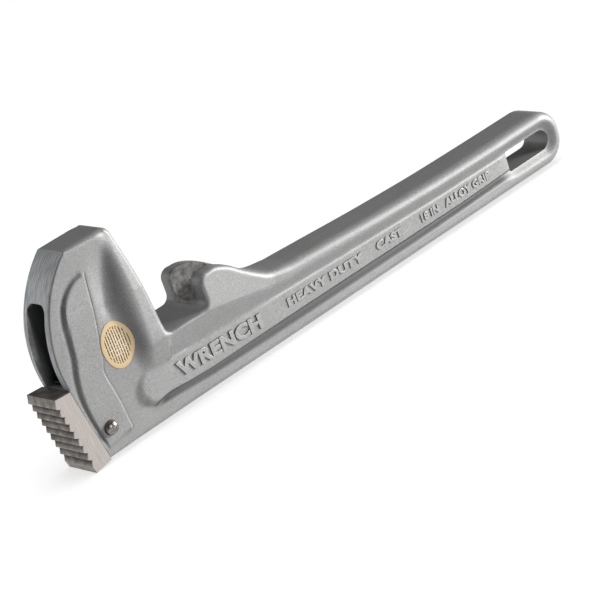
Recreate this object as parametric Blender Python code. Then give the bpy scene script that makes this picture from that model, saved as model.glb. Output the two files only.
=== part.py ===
"""Handle assembly of an 18 inch straight pipe wrench, with heel jaw, cross pin and spring set.

Design axes, in millimetres: X runs along the straight underside from the heel-jaw seat to the
hanging end, Y runs across the casting, Z runs up to the top of the housing. X = 0, Z = 0 is the
lower corner of the heel-jaw seat. The finished model is moved so that its origin lies under the
middle of its bounding box, at the lowest point.
"""

import math

import bmesh
import bpy
from mathutils import Matrix, Vector

MM = 0.001

# Clearances
FIT_GAP = 0.3            # between pieces that touch
PASSAGE_GAP = 0.4        # heel-jaw tang in its slot, each side

# Housing
HEAD_HEIGHT = 115.5      # underside to flat top
HEAD_TOP_FRONT = 19.0    # X of the top's front edge
HEAD_TOP_LENGTH = 31.0   # flat top, front to back
HEAD_FRONT_RADIUS = 69.0 # bulge of the ground front face
HEAD_FRONT_WIDTH = 23.4  # across the front face
HEAD_SIDE_FLARE = 0.09   # side face widens rearwards, mm per mm
HEAD_SIDE_TAPER = 0.05   # side face narrows upwards, mm per mm
RIM_TOP_WIDTH = 25.0     # across the rear rim at the flat top
RIM_DEPTH = 11.0         # rim, front to back
ROOF = 22.0              # flat top down to the slot's front top
PAD_WIDTH = 28.0         # across the two raised pads
PAD_REAR_LEAN = 0.163    # pad's rear edge leans rearwards, mm per mm
PAD_TOP_BACK = 5.0       # pad's upper rear corner, behind the flat top's front edge
PAD_TOP_DOWN = 17.5      # and below the flat top
PAD_CORNER = 18.5        # radius of the pad's upper front corner
PAD_BORDER_LOW = 1.8     # seat to the pad's front edge, near the pin
PAD_BORDER_HIGH = 3.2    # seat to the pad's front edge, near the jaw's top
PAD_FRONT = (1.0, 24.0)  # X of the pad's front edge, and its height above the jaw
PAD_HEEL = (5.0, 8.0)    # pad's lower rear corner: ahead of the upper one, height
RIM_TOP_DEPTH = 8.0      # rim at the flat top, front to back
TOP_FALL = 1.5           # the flat top falls this much to the rear
HEAD_THROAT = (42.0, 30.0)  # X and height where the housing meets the band
HEAD_HEEL = (23.0, 12.0)    # X and height of the housing's rear end at the underside

# Nut window and cheeks
WINDOW_FRONT = 57.5      # X of the housing's rear face at the window floor
WINDOW_LENGTH = 30.0     # room for the adjusting nut
WINDOW_FLOOR = 46.0      # underside to window floor
CHEEK_WIDTH = 40.0       # across both cheeks
CHEEK_HEIGHT = 18.5      # window floor to the top of the hump
CHANNEL_WIDTH = 19.0     # between the cheeks
SHOULDER_HEIGHT = 17.0   # sloping sides below the window floor
SHOULDER_SLOPE = 0.36    # shoulders narrow downwards, mm per mm
SHOULDER_REACH = 6.0     # shoulders start ahead of the window
SHOULDER_TAIL = 14.0     # shoulders end behind the grip's root
HUMP_CORNER = 6.0        # radius of the cheeks' upper front corner
HUMP_FALL = ((13.0, 0.5), (22.5, 5.0), (30.5, 11.0), (38.5, 17.0))  # back and down from its front top
CHANNEL_LIFT = 3.0       # channel floor above the window floor
CHANNEL_LENGTH = 45.0

# Shank passage and springs
SLOT_WIDTH = 17.2        # hook-jaw shank slot
PASSAGE_TILT = 10.7      # degrees, passage rises rearwards
SPRING_SHELF = 16.0      # level floor behind the heel jaw
ROOF_LIP = 2.0           # the slot's roof is lower at the mouth
ROOF_START = -2.0        # X where the roof has reached its full height
ROOF_RAMP = 3.0          # from the mouth's lower roof to there
LEAF_WIDTH = 11.0
LEAF_THICKNESS = 1.0
LEAF_LENGTH = 46.0
LEAF_LIFT = 1.6          # front end above the passage floor
LEAF_TAIL_LIFT = 2.9     # tail above the passage floor, room for the leaf to be pressed
LEAF_BOW = 3.6           # crest above the straight line to the tail
LEAF_LEVEL = 0.8         # share of the shelf over which the leaf lies level
LEAF_CREST = 0.8         # under 1 moves the crest forward
LEAF_SET_BACK = 3.0      # leaf's front end behind the seat's top
COIL_SET_BACK = 1.0      # coil behind the leaf's front end
COIL_DIAMETER = 10.0
COIL_HEIGHT = 8.0
COIL_WIRE = 1.5
RIVET_DIAMETER = 3.0
RIVET_HEAD = 1.0

# Grip
GRIP_LENGTH = 366.0      # seat corner to the hanging end
GRIP_DEPTH = 33.0        # underside to top, near the hanging end
GRIP_DEPTH_ROOT = 41.0   # underside to top, behind the hump
GRIP_ROOT = 137.0        # X of the root
GRIP_WAIST = 110.0       # root to where the top runs level
GRIP_START = 14.0        # X where the bar starts, inside the housing
END_RADIUS = 15.0        # corners of the hanging end
FLANGE_BOTTOM_WIDTH = 25.0
FLANGE_TOP_WIDTH = 29.0
FLANGE_THICKNESS = 9.5   # lower flange
FLANGE_TOP_EXTRA = 1.2   # upper flange, against the lower one
WEB_WIDTH = 22.0         # across the lettering bands
BAND_START = 38.0        # X of the band's rounded nose
HANG_SLOT_LENGTH = 35.0
HANG_END_WALL = 9.5      # from the slot's end to the hanging end

# Heel jaw and pin
SEAT_LEAN = 10.5         # degrees, seat leans forward at its top
JAW_HEIGHT = 47.0        # along the seat
JAW_FRONT_RISE = 2.6     # front top edge above the back one
JAW_WIDTH = 27.0
JAW_DEPTH = 11.0         # seat to tooth roots
TOOTH_COUNT = 9
TOOTH_DEPTH = 1.5
JAW_TOP_CUT = 0.6        # top front corner, set back from the tooth roots
JAW_FOOT_CUT = 0.5       # bottom front corner, set back from the tooth tips
TOOTH_FACE = 0.63        # long face of a tooth, as a share of the pitch
FIRST_TOOTH = 6.5        # from the top of the row to its first root
LAST_TOOTH = 7.7         # from the last root to the bottom of the row
TANG_DEPTH = 14.5
TANG_LOW = 7.0           # along the seat, from its lower corner
TANG_BELOW_TOP = 9.0     # tang's upper face, below the jaw's top
TANG_CHAMFER = 4.0       # upper rear corner
PIN_DIAMETER = 8.0
PIN_UP = 14.1            # along the seat
PIN_BACK = 9.3           # behind the seat
PIN_DOME = 2.6
PIN_GAP = 0.35           # round the pin, in the casting and in the tang

# Label
LABEL_GAP = 0.9          # from the pad's rear edge
LABEL_Z = 55.0
LABEL_WIDTH = 19.4
LABEL_HEIGHT = 27.2
LABEL_THICKNESS = 0.3

# Cutters run past the solid, and joined solids run into each other
PAST = 30.0
OVERLAP = 2.0
BITE = 0.2

SEAT_TURN = math.radians(SEAT_LEAN)
TILT = math.radians(PASSAGE_TILT)
WINDOW_REAR = WINDOW_FRONT + WINDOW_LENGTH
HEAD_TOP_REAR = HEAD_TOP_FRONT + HEAD_TOP_LENGTH
HUMP_TOP = WINDOW_FLOOR + CHEEK_HEIGHT
SLOT_TOP = HEAD_HEIGHT - ROOF
TANG_WIDTH = SLOT_WIDTH - 2 * PASSAGE_GAP
JAW_FRONT_HEIGHT = JAW_HEIGHT + JAW_FRONT_RISE
TANG_HIGH = JAW_HEIGHT - TANG_BELOW_TOP
TOOTH_PITCH = (JAW_FRONT_HEIGHT - FIRST_TOOTH - LAST_TOOTH) / (TOOTH_COUNT - 2)


def remove_everything():
    """Delete every object that the file holds."""
    for item in list(bpy.data.objects):
        bpy.data.objects.remove(item, do_unlink=True)


def material(name, color, roughness, metallic):
    """A plain Principled material."""
    made = bpy.data.materials.new(name)
    made.use_nodes = True
    shader = made.node_tree.nodes["Principled BSDF"]
    shader.inputs["Base Color"].default_value = (*color, 1.0)
    shader.inputs["Roughness"].default_value = roughness
    shader.inputs["Metallic"].default_value = metallic
    return made


def add_mesh(name, bm, finish=None, smooth=False):
    """Turn a bmesh into a named object."""
    bmesh.ops.recalc_face_normals(bm, faces=bm.faces)
    mesh = bpy.data.meshes.new(name)
    bm.to_mesh(mesh)
    bm.free()
    if smooth:
        mesh.shade_smooth()
        mesh.set_sharp_from_angle(angle=math.radians(35))
    item = bpy.data.objects.new(name, mesh)
    bpy.context.scene.collection.objects.link(item)
    if finish:
        mesh.materials.append(finish)
    return item


def prism(name, outline, near, far=None, finish=None):
    """Close an XZ outline between two Y faces.

    near and far give the signed Y of each face at (x, z). With near alone the prism is
    symmetric, from -near to +near.
    """
    bm = bmesh.new()
    low = near if far else (lambda x, z: -near(x, z))
    high = far if far else near
    front = [bm.verts.new((x * MM, low(x, z) * MM, z * MM)) for x, z in outline]
    back = [bm.verts.new((x * MM, high(x, z) * MM, z * MM)) for x, z in outline]
    bm.faces.new(front)
    bm.faces.new(back[::-1])
    for i in range(len(outline)):
        j = (i + 1) % len(outline)
        bm.faces.new((front[j], front[i], back[i], back[j]))
    return add_mesh(name, bm, finish)


def cylinder(name, x, z, radius, length, segments=24):
    """A cylinder along Y, centred on (x, 0, z)."""
    bm = bmesh.new()
    place = Matrix.Translation((x * MM, 0, z * MM)) @ Matrix.Rotation(math.pi / 2, 4, "X")
    bmesh.ops.create_cone(
        bm, cap_ends=True, segments=segments, radius1=radius * MM, radius2=radius * MM,
        depth=length * MM, matrix=place)
    return add_mesh(name, bm)


def combine(target, tools, operation):
    """Join tools to the target or cut them from it, with live Boolean modifiers."""
    for tool in tools:
        step = target.modifiers.new(f"{operation.lower()}_{tool.name}", "BOOLEAN")
        step.operation = operation
        step.solver = "EXACT"
        step.object = tool
        tool.hide_render = True
        tool.display_type = "WIRE"


def flat(width):
    """A Y face at half a width, the same everywhere."""
    return lambda x, z: width / 2


def seat_point(up, out):
    """A point given along the seat and in front of it."""
    x = -up * math.sin(SEAT_TURN) - out * math.cos(SEAT_TURN)
    z = up * math.cos(SEAT_TURN) - out * math.sin(SEAT_TURN)
    return x, z


def arc_points(center, radius, start, end, steps):
    """Points on a circle, from one angle to another in degrees."""
    points = []
    for i in range(steps + 1):
        turn = math.radians(start + (end - start) * i / steps)
        points.append((center[0] + radius * math.cos(turn), center[1] + radius * math.sin(turn)))
    return points


def arc_between(first, last, radius, steps):
    """Points on the arc of a given radius that bulges to the left of first to last."""
    ax, az = first
    bx, bz = last
    half = math.hypot(bx - ax, bz - az) / 2
    across = (-(bz - az) / (2 * half), (bx - ax) / (2 * half))
    inward = math.sqrt(radius ** 2 - half ** 2)
    center = ((ax + bx) / 2 - across[0] * inward, (az + bz) / 2 - across[1] * inward)
    start = math.degrees(math.atan2(az - center[1], ax - center[0]))
    end = math.degrees(math.atan2(bz - center[1], bx - center[0]))
    if end > start:
        end -= 360
    return arc_points(center, radius, start, end, steps)


def head_side(x, z):
    """Half the width of the housing's side faces."""
    rise = HEAD_SIDE_FLARE * (x - seat_point(JAW_HEIGHT, 0)[0])
    return HEAD_FRONT_WIDTH / 2 + rise - HEAD_SIDE_TAPER * (z - JAW_HEIGHT)


def rim_side(x, z):
    """Half the width of the rear rim, which flares down to the cheeks."""
    drop = (HEAD_HEIGHT - z) / (HEAD_HEIGHT - WINDOW_FLOOR)
    return (RIM_TOP_WIDTH + (CHEEK_WIDTH - RIM_TOP_WIDTH) * drop) / 2


def grip_side(x, z):
    """Half the width of the grip, wider at the top flange."""
    return (FLANGE_BOTTOM_WIDTH + (FLANGE_TOP_WIDTH - FLANGE_BOTTOM_WIDTH) * z / GRIP_DEPTH) / 2


def hump_side(x, z):
    """Half the width of the cheeks, narrowing to the grip behind the hump."""
    along = (x - WINDOW_REAR) / (GRIP_ROOT - WINDOW_REAR)
    return (CHEEK_WIDTH + (FLANGE_TOP_WIDTH - CHEEK_WIDTH) * along) / 2


def shoulder_side(x, z):
    """Half the width of the shoulders, which slope in below the window floor."""
    return CHEEK_WIDTH / 2 - (WINDOW_FLOOR - z) * SHOULDER_SLOPE


def rear_shoulder_side(x, z):
    """Half the width of the shoulders behind the window, which also narrow rearwards."""
    return hump_side(x, z) - (WINDOW_FLOOR - z) * SHOULDER_SLOPE


def passage_floor(x):
    """Height of the shank passage's floor."""
    shelf_end = seat_point(JAW_HEIGHT, 0)[0] + SPRING_SHELF
    return shelf_height() + max(0.0, x - shelf_end) * math.tan(TILT)


def shelf_height():
    """Height of the level spring shelf behind the heel jaw's top."""
    return seat_point(JAW_HEIGHT, 0)[1] + FIT_GAP


def grip_outline():
    """The grip's side outline, with its rounded hanging end."""
    lower = (GRIP_LENGTH - END_RADIUS, END_RADIUS)
    upper = (GRIP_LENGTH - END_RADIUS, GRIP_DEPTH - END_RADIUS)
    points = [(GRIP_START, 0.0)]
    points += arc_points(lower, END_RADIUS, -90, 0, 8)
    points += arc_points(upper, END_RADIUS, 0, 90, 8)
    points.append((GRIP_ROOT + GRIP_WAIST, GRIP_DEPTH))
    points.append((GRIP_ROOT, GRIP_DEPTH_ROOT))
    points.append((GRIP_START, GRIP_DEPTH_ROOT - OVERLAP))
    return points


def band_outline():
    """The recess on each side of the grip, from the band's nose to the hang slot's end."""
    low = FLANGE_THICKNESS
    high = GRIP_DEPTH - FLANGE_THICKNESS - FLANGE_TOP_EXTRA
    nose_high = GRIP_DEPTH_ROOT - FLANGE_THICKNESS
    nose = (nose_high - low) / 2
    end_radius = (high - low) / 2
    end = (GRIP_LENGTH - HANG_END_WALL - end_radius, low + end_radius)
    points = arc_points((BAND_START + nose, low + nose), nose, 90, 270, 8)
    points += arc_points(end, end_radius, -90, 90, 8)
    points.append((GRIP_ROOT + GRIP_WAIST, high))
    return points


def head_outline():
    """The housing's side outline, forward of the nut window."""
    top_front = (HEAD_TOP_FRONT, HEAD_HEIGHT)
    seat_top = seat_point(JAW_HEIGHT, 0)
    points = [(0.0, 0.0), seat_top]
    points += arc_between(seat_top, top_front, HEAD_FRONT_RADIUS, 12)[1:]
    points.append((HEAD_TOP_REAR, HEAD_HEIGHT - TOP_FALL))
    points.append((WINDOW_FRONT, WINDOW_FLOOR - OVERLAP / 2))
    points.append(HEAD_THROAT)
    points.append(HEAD_HEEL)
    points.append((HEAD_HEEL[0], 0.0))
    return points


def rim_outline():
    """The strip along the housing's rear face that carries the nut."""
    return [
        (HEAD_TOP_REAR - RIM_TOP_DEPTH, HEAD_HEIGHT - TOP_FALL),
        (HEAD_TOP_REAR, HEAD_HEIGHT - TOP_FALL),
        (WINDOW_FRONT - BITE / 2, WINDOW_FLOOR + BITE),
        (WINDOW_FRONT - RIM_DEPTH, WINDOW_FLOOR + BITE),
    ]


def pad_outline():
    """The raised pad around the pin, on each side of the housing."""
    corner_x, corner_z = pad_top_corner()
    corner = (corner_x - PAD_CORNER * 0.2, corner_z - PAD_CORNER * 0.97)
    points = [
        seat_point(TANG_LOW - 1.0, -PAD_BORDER_LOW), seat_point(TANG_HIGH + 1.0, -PAD_BORDER_HIGH),
        (PAD_FRONT[0], JAW_HEIGHT + PAD_FRONT[1])]
    points += arc_points(corner, PAD_CORNER, 165, 95, 5)
    points += [
        (corner_x, corner_z), (pad_rear(WINDOW_FLOOR), WINDOW_FLOOR),
        (corner_x - PAD_HEEL[0], PAD_HEEL[1])]
    return points


def pad_top_corner():
    """The pad's upper rear corner."""
    return HEAD_TOP_FRONT + PAD_TOP_BACK, HEAD_HEIGHT - PAD_TOP_DOWN


def pad_rear(z):
    """X of the pad's rear edge above the window floor's level."""
    corner_x, corner_z = pad_top_corner()
    return corner_x - PAD_REAR_LEAN * (corner_z - z)


def hump_outline():
    """The cheeks behind the nut window, falling to the grip."""
    corner = (WINDOW_REAR + HUMP_CORNER, HUMP_TOP - HUMP_CORNER)
    points = [(WINDOW_REAR, WINDOW_FLOOR - OVERLAP), (WINDOW_REAR, corner[1])]
    points += arc_points(corner, HUMP_CORNER, 165, 90, 4)
    points += [(WINDOW_REAR + back, HUMP_TOP - down) for back, down in HUMP_FALL]
    points.append((GRIP_ROOT, GRIP_DEPTH_ROOT - 2 * BITE))
    points.append((GRIP_ROOT, GRIP_DEPTH_ROOT - OVERLAP))
    return points


def shoulder_outline():
    """The sloping shoulders between the band and the window floor."""
    low = WINDOW_FLOOR - SHOULDER_HEIGHT
    return [
        (BAND_START + OVERLAP, low),
        (WINDOW_FRONT - SHOULDER_REACH, WINDOW_FLOOR),
        (WINDOW_REAR + OVERLAP / 2, WINDOW_FLOOR),
        (WINDOW_REAR + OVERLAP / 2, low),
    ]


def rear_shoulder_outline():
    """The sloping shoulders behind the nut window, down to the band's upper edge."""
    low = WINDOW_FLOOR - SHOULDER_HEIGHT
    return [
        (WINDOW_REAR - OVERLAP / 2, WINDOW_FLOOR - 2 * BITE),
        (WINDOW_REAR + HUMP_FALL[0][0], WINDOW_FLOOR - 2 * BITE),
        (GRIP_ROOT, GRIP_DEPTH_ROOT - OVERLAP),
        (GRIP_ROOT + SHOULDER_TAIL, low),
        (WINDOW_REAR - OVERLAP / 2, low),
    ]


def passage_outline():
    """The shank passage, open at the front slot and into the nut window."""
    shelf_end = seat_point(JAW_HEIGHT, 0)[0] + SPRING_SHELF
    front = -PAST
    rear = WINDOW_FRONT + 6 * OVERLAP
    mouth = SLOT_TOP - ROOF_LIP
    return [
        (front, shelf_height()),
        (shelf_end, shelf_height()),
        (rear, passage_floor(rear)),
        (rear, SLOT_TOP + (rear - ROOF_START) * math.tan(TILT)),
        (ROOF_START, SLOT_TOP),
        (ROOF_START - ROOF_RAMP, mouth),
        (front, mouth),
    ]


def channel_outline():
    """The scoop between the cheeks that clears the shank's tail."""
    front = WINDOW_REAR - OVERLAP
    rear = WINDOW_REAR + CHANNEL_LENGTH
    floor = WINDOW_FLOOR + CHANNEL_LIFT
    return [
        (front, floor),
        (WINDOW_REAR, floor),
        (rear, floor + CHANNEL_LENGTH * math.tan(TILT)),
        (rear, HUMP_TOP + PAST),
        (front, HUMP_TOP + PAST),
    ]


def tang_outline(gap):
    """The heel jaw's tang, or with a gap the slot that takes it."""
    back = -TANG_DEPTH - gap
    return [
        seat_point(TANG_LOW - gap, OVERLAP),
        seat_point(TANG_HIGH + gap, OVERLAP),
        seat_point(TANG_HIGH + gap, back + TANG_CHAMFER),
        seat_point(TANG_HIGH - TANG_CHAMFER + gap, back),
        seat_point(TANG_LOW - gap, back),
    ]


def hang_slot_outline():
    """The hanging hole between the flanges, square at the web and round at the end."""
    low = FLANGE_THICKNESS
    high = GRIP_DEPTH - FLANGE_THICKNESS - FLANGE_TOP_EXTRA
    radius = (high - low) / 2
    rear = GRIP_LENGTH - HANG_END_WALL
    points = [(rear - HANG_SLOT_LENGTH, high), (rear - HANG_SLOT_LENGTH, low)]
    points += arc_points((rear - radius, low + radius), radius, -90, 90, 10)
    return points


def make_handle(finish):
    """The aluminium casting: housing, cheeks, grip and hanging end."""
    handle = prism("handle", grip_outline(), grip_side, finish=finish)
    recess_far = prism("recess_far", band_outline(), flat(WEB_WIDTH), flat(2 * PAST))
    recess_near = prism(
        "recess_near", band_outline(), lambda x, z: -PAST, lambda x, z: -WEB_WIDTH / 2)
    combine(handle, [recess_near, recess_far], "DIFFERENCE")
    added = [
        prism("head_block", head_outline(), head_side),
        prism("rear_rim", rim_outline(), rim_side),
        prism("pads", pad_outline(), flat(PAD_WIDTH)),
        prism("shoulders", shoulder_outline(), shoulder_side),
        prism("rear_shoulders", rear_shoulder_outline(), rear_shoulder_side),
        prism("cheeks", hump_outline(), hump_side),
    ]
    combine(handle, added, "UNION")
    pin_x, pin_z = seat_point(PIN_UP, -PIN_BACK)
    cut = [
        prism("shank_passage", passage_outline(), flat(SLOT_WIDTH)),
        prism("shank_channel", channel_outline(), flat(CHANNEL_WIDTH)),
        prism("tang_slot", tang_outline(PASSAGE_GAP), flat(SLOT_WIDTH)),
        prism("hang_slot", hang_slot_outline(), flat(2 * PAST)),
        cylinder("pin_hole", pin_x, pin_z, PIN_DIAMETER / 2 + PIN_GAP, 2 * PAST),
    ]
    combine(handle, cut, "DIFFERENCE")
    return handle


def jaw_outline():
    """The heel jaw's block with its row of sawteeth, tips pointing down."""
    tip = JAW_DEPTH + TOOTH_DEPTH
    points = [
        seat_point(0.0, FIT_GAP),
        seat_point(JAW_HEIGHT, FIT_GAP),
        seat_point(JAW_FRONT_HEIGHT, JAW_DEPTH - JAW_TOP_CUT),
    ]
    face = TOOTH_FACE * TOOTH_PITCH
    for i in range(TOOTH_COUNT - 1):
        root = JAW_FRONT_HEIGHT - FIRST_TOOTH - i * TOOTH_PITCH
        points.append(seat_point(root + TOOTH_PITCH - face, tip))
        points.append(seat_point(root, JAW_DEPTH))
    points.append(seat_point(root - face, tip))
    points.append(seat_point(0.0, tip - JAW_FOOT_CUT))
    return points


def make_heel_jaw(finish):
    """The toothed block, its tang and the cross hole."""
    jaw = prism("heel_jaw", jaw_outline(), flat(JAW_WIDTH), finish=finish)
    tang = prism("tang", tang_outline(0.0), flat(TANG_WIDTH))
    combine(jaw, [tang], "UNION")
    pin_x, pin_z = seat_point(PIN_UP, -PIN_BACK)
    hole = cylinder("tang_hole", pin_x, pin_z, PIN_DIAMETER / 2 + PIN_GAP, JAW_WIDTH * 2)
    combine(jaw, [hole], "DIFFERENCE")
    return jaw


def turned_piece(name, profile, finish, segments=28):
    """Turn a profile of (radius, height) points about Z; both ends lie on the axis."""
    bm = bmesh.new()
    verts = [bm.verts.new((radius * MM, 0, height * MM)) for radius, height in profile]
    edges = [bm.edges.new(pair) for pair in zip(verts, verts[1:])]
    bmesh.ops.spin(
        bm, geom=verts + edges, cent=(0, 0, 0), axis=(0, 0, 1), angle=2 * math.pi,
        steps=segments, use_merge=True, use_duplicate=False)
    bmesh.ops.remove_doubles(bm, verts=bm.verts, dist=1e-6)
    return add_mesh(name, bm, finish, smooth=True)


def make_pin(finish):
    """The cross pin, domed at both ends."""
    radius = PIN_DIAMETER / 2
    half = PAD_WIDTH / 2
    dome = []
    for i in range(6):
        turn = math.radians(90 * i / 5)
        dome.append((radius * math.cos(turn), half + PIN_DOME * math.sin(turn)))
    profile = [(r, -h) for r, h in reversed(dome)] + dome
    profile[0] = (0.0, profile[0][1])
    profile[-1] = (0.0, profile[-1][1])
    pin = turned_piece("heel_jaw_pin", profile, finish)
    pin_x, pin_z = seat_point(PIN_UP, -PIN_BACK)
    pin.location = (pin_x * MM, 0, pin_z * MM)
    pin.rotation_euler = (math.pi / 2, 0, 0)
    return pin


def leaf_start():
    """The leaf's hinge line, at its front end."""
    return seat_point(JAW_HEIGHT, 0)[0] + LEAF_SET_BACK, shelf_height() + LEAF_LIFT


def leaf_line(t):
    """A point on the leaf's underside, from 0 at the front to 1 at the tail."""
    x0, z0 = leaf_start()
    x = x0 + t * LEAF_LENGTH
    level = min(1.0, SPRING_SHELF * LEAF_LEVEL / LEAF_LENGTH)
    s = max(0.0, (t - level) / (1.0 - level))
    rise = s * ((1.0 - level) * LEAF_LENGTH * math.tan(TILT) + LEAF_TAIL_LIFT - LEAF_LIFT)
    return x, z0 + rise + LEAF_BOW * math.sin(math.pi * s ** LEAF_CREST)


def make_leaf(finish):
    """The bowed leaf on the passage floor."""
    x0, z0 = leaf_start()
    steps = 18
    under = [leaf_line(i / steps) for i in range(steps + 1)]
    over = [(x, z + LEAF_THICKNESS) for x, z in under]
    outline = [(x - x0, z - z0) for x, z in under + over[::-1]]
    leaf = prism("flat_spring", outline, flat(LEAF_WIDTH), finish=finish)
    hole = cylinder_up("leaf_hole", 0, 0, RIVET_DIAMETER / 2 + FIT_GAP, 6.0)
    hole.location = ((coil_axis_x() - x0) * MM, 0, 0)
    combine(leaf, [hole], "DIFFERENCE")
    hole.parent = leaf
    leaf.location = (x0 * MM, 0, z0 * MM)
    return leaf


def cylinder_up(name, x, z, radius, length):
    """A cylinder along Z, centred on (x, 0, z)."""
    bm = bmesh.new()
    bmesh.ops.create_cone(
        bm, cap_ends=True, segments=20, radius1=radius * MM, radius2=radius * MM,
        depth=length * MM, matrix=Matrix.Translation((x * MM, 0, z * MM)))
    return add_mesh(name, bm)


def coil_axis_x():
    """X of the coil spring's axis, on the level front of the leaf."""
    return leaf_start()[0] + COIL_DIAMETER / 2 + COIL_SET_BACK


def coil_foot():
    """Height of the coil's foot, on the leaf."""
    return leaf_start()[1] + LEAF_THICKNESS + FIT_GAP


def make_coil(finish):
    """The coil spring as one plain ring of its outer size."""
    outer = COIL_DIAMETER / 2
    inner = outer - COIL_WIRE
    bm = bmesh.new()
    ring = [(inner, 0), (outer, 0), (outer, COIL_HEIGHT), (inner, COIL_HEIGHT)]
    verts = [bm.verts.new((radius * MM, 0, height * MM)) for radius, height in ring]
    edges = [bm.edges.new((verts[i], verts[(i + 1) % 4])) for i in range(4)]
    bmesh.ops.spin(
        bm, geom=verts + edges, cent=(0, 0, 0), axis=(0, 0, 1), angle=2 * math.pi,
        steps=24, use_merge=True, use_duplicate=False)
    bmesh.ops.remove_doubles(bm, verts=bm.verts, dist=1e-6)
    coil = add_mesh("coil_spring", bm, finish, smooth=True)
    coil.location = (coil_axis_x() * MM, 0, coil_foot() * MM)
    return coil


def make_rivet(finish):
    """The rivet through the leaf, with a head inside the coil and one under the leaf."""
    shank = RIVET_DIAMETER / 2
    head = shank * 1.6
    low = leaf_start()[1] - FIT_GAP
    high = leaf_start()[1] + LEAF_THICKNESS + FIT_GAP
    profile = [
        (0.0, low - RIVET_HEAD * 0.7), (head * 0.8, low - RIVET_HEAD * 0.7), (head, low),
        (shank, low), (shank, high), (head, high), (head * 0.75, high + RIVET_HEAD * 0.8),
        (0.0, high + RIVET_HEAD),
    ]
    rivet = turned_piece("spring_rivet", profile, finish, segments=20)
    rivet.location = (coil_axis_x() * MM, 0, 0)
    return rivet


def make_label(finish):
    """The thin oval sticker on the side face of the housing."""
    ring = []
    for i in range(32):
        turn = 2 * math.pi * i / 32
        across = LABEL_WIDTH / 2 * math.cos(turn)
        ring.append((across, LABEL_Z + LABEL_HEIGHT / 2 * math.sin(turn)))
    center = LABEL_GAP + max(pad_rear(z) - across for across, z in ring)
    outline = [(center + across, z) for across, z in ring]
    inner = FIT_GAP
    outer = FIT_GAP + LABEL_THICKNESS
    return prism(
        "label", outline, lambda x, z: -head_side(x, z) - outer,
        lambda x, z: -head_side(x, z) - inner, finish)


def set_origin():
    """Move everything so that the origin is under the middle of the bounding box."""
    bpy.context.view_layer.update()
    graph = bpy.context.evaluated_depsgraph_get()
    corners = []
    for item in bpy.data.objects:
        if item.type == "MESH" and not item.hide_render:
            shown = item.evaluated_get(graph)
            corners += [shown.matrix_world @ vert.co for vert in shown.data.vertices]
    low = Vector([min(corner[i] for corner in corners) for i in range(3)])
    high = Vector([max(corner[i] for corner in corners) for i in range(3)])
    shift = Vector((-(low.x + high.x) / 2, -(low.y + high.y) / 2, -low.z))
    for item in bpy.data.objects:
        if item.parent is None:
            item.location = item.location + shift


def build():
    """Model every piece."""
    remove_everything()
    aluminium = material("cast_aluminium", (0.40, 0.41, 0.42), 0.42, 1.0)
    jaw_steel = material("jaw_steel", (0.52, 0.49, 0.47), 0.4, 1.0)
    pin_steel = material("pin_steel", (0.30, 0.29, 0.28), 0.35, 1.0)
    spring_steel = material("spring_steel", (0.20, 0.20, 0.21), 0.35, 1.0)
    coil_steel = material("coil_wire", (0.32, 0.32, 0.33), 0.3, 1.0)
    rivet_steel = material("rivet_steel", (0.36, 0.35, 0.34), 0.4, 1.0)
    paper = material("label_paper", (0.72, 0.55, 0.33), 0.6, 0.0)
    make_handle(aluminium)
    make_heel_jaw(jaw_steel)
    make_pin(pin_steel)
    make_leaf(spring_steel)
    make_coil(coil_steel)
    make_rivet(rivet_steel)
    make_label(paper)
    set_origin()


build()
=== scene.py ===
"""Looks of a straight pipe wrench's handle assembly: casting, heel jaw, pin, springs and label.

Shapes are worked out in design millimetres: X runs along the straight underside from the heel-jaw
seat's lower corner to the hanging end, Y runs across the casting and Z runs up. to_frame() turns
them into the frame's metres.
"""

import math

import bpy
import numpy as np
from mathutils import Matrix, Vector


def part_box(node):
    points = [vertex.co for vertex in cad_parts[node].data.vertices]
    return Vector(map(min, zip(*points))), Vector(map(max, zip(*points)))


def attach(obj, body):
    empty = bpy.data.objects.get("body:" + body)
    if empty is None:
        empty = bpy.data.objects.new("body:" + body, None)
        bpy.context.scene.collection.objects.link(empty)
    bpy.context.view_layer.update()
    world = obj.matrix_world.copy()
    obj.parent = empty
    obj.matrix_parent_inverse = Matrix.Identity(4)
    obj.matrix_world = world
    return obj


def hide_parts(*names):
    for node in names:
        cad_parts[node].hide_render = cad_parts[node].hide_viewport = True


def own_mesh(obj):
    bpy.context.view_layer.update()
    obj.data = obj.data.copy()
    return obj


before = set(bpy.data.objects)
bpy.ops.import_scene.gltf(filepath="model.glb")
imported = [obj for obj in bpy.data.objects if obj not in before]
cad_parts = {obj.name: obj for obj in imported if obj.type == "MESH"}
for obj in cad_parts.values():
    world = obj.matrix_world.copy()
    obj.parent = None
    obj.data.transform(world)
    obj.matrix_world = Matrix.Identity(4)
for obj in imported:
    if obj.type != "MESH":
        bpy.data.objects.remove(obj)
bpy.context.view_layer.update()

MM = 0.001
GRIP_LENGTH = 366.0       # seat corner to the hanging end
GRIP_DEPTH = 33.0         # underside to the top, at the hanging end
END_RADIUS = 15.0         # outline round the hanging end
END_START = GRIP_LENGTH - END_RADIUS
HEAD_HEIGHT = 115.5       # underside to the housing's flat top
HEAD_TOP_FRONT = 19.0     # X of the flat top's front edge
HEAD_FRONT_RADIUS = 69.0  # arc of the ground front face
SEAT_HEIGHT = 47.0        # length of the heel-jaw seat
SEAT_TURN = math.radians(10.5)      # the seat's lean from upright
WINDOW_FLOOR = 46.0
WINDOW_REAR = 87.5
PASSAGE_TURN = math.radians(10.7)   # how the shank passage climbs rearwards
SLOT_HALF = 8.6           # shank passage, half width
SLOT_TOP = 93.5           # shank passage, roof at the front
CHANNEL_HALF = 9.5        # scoop between the cheeks, half width
TANG_LOW = 7.0            # heel jaw's tang, measured up the seat and inwards from it
TANG_HIGH = 38.0
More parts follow.
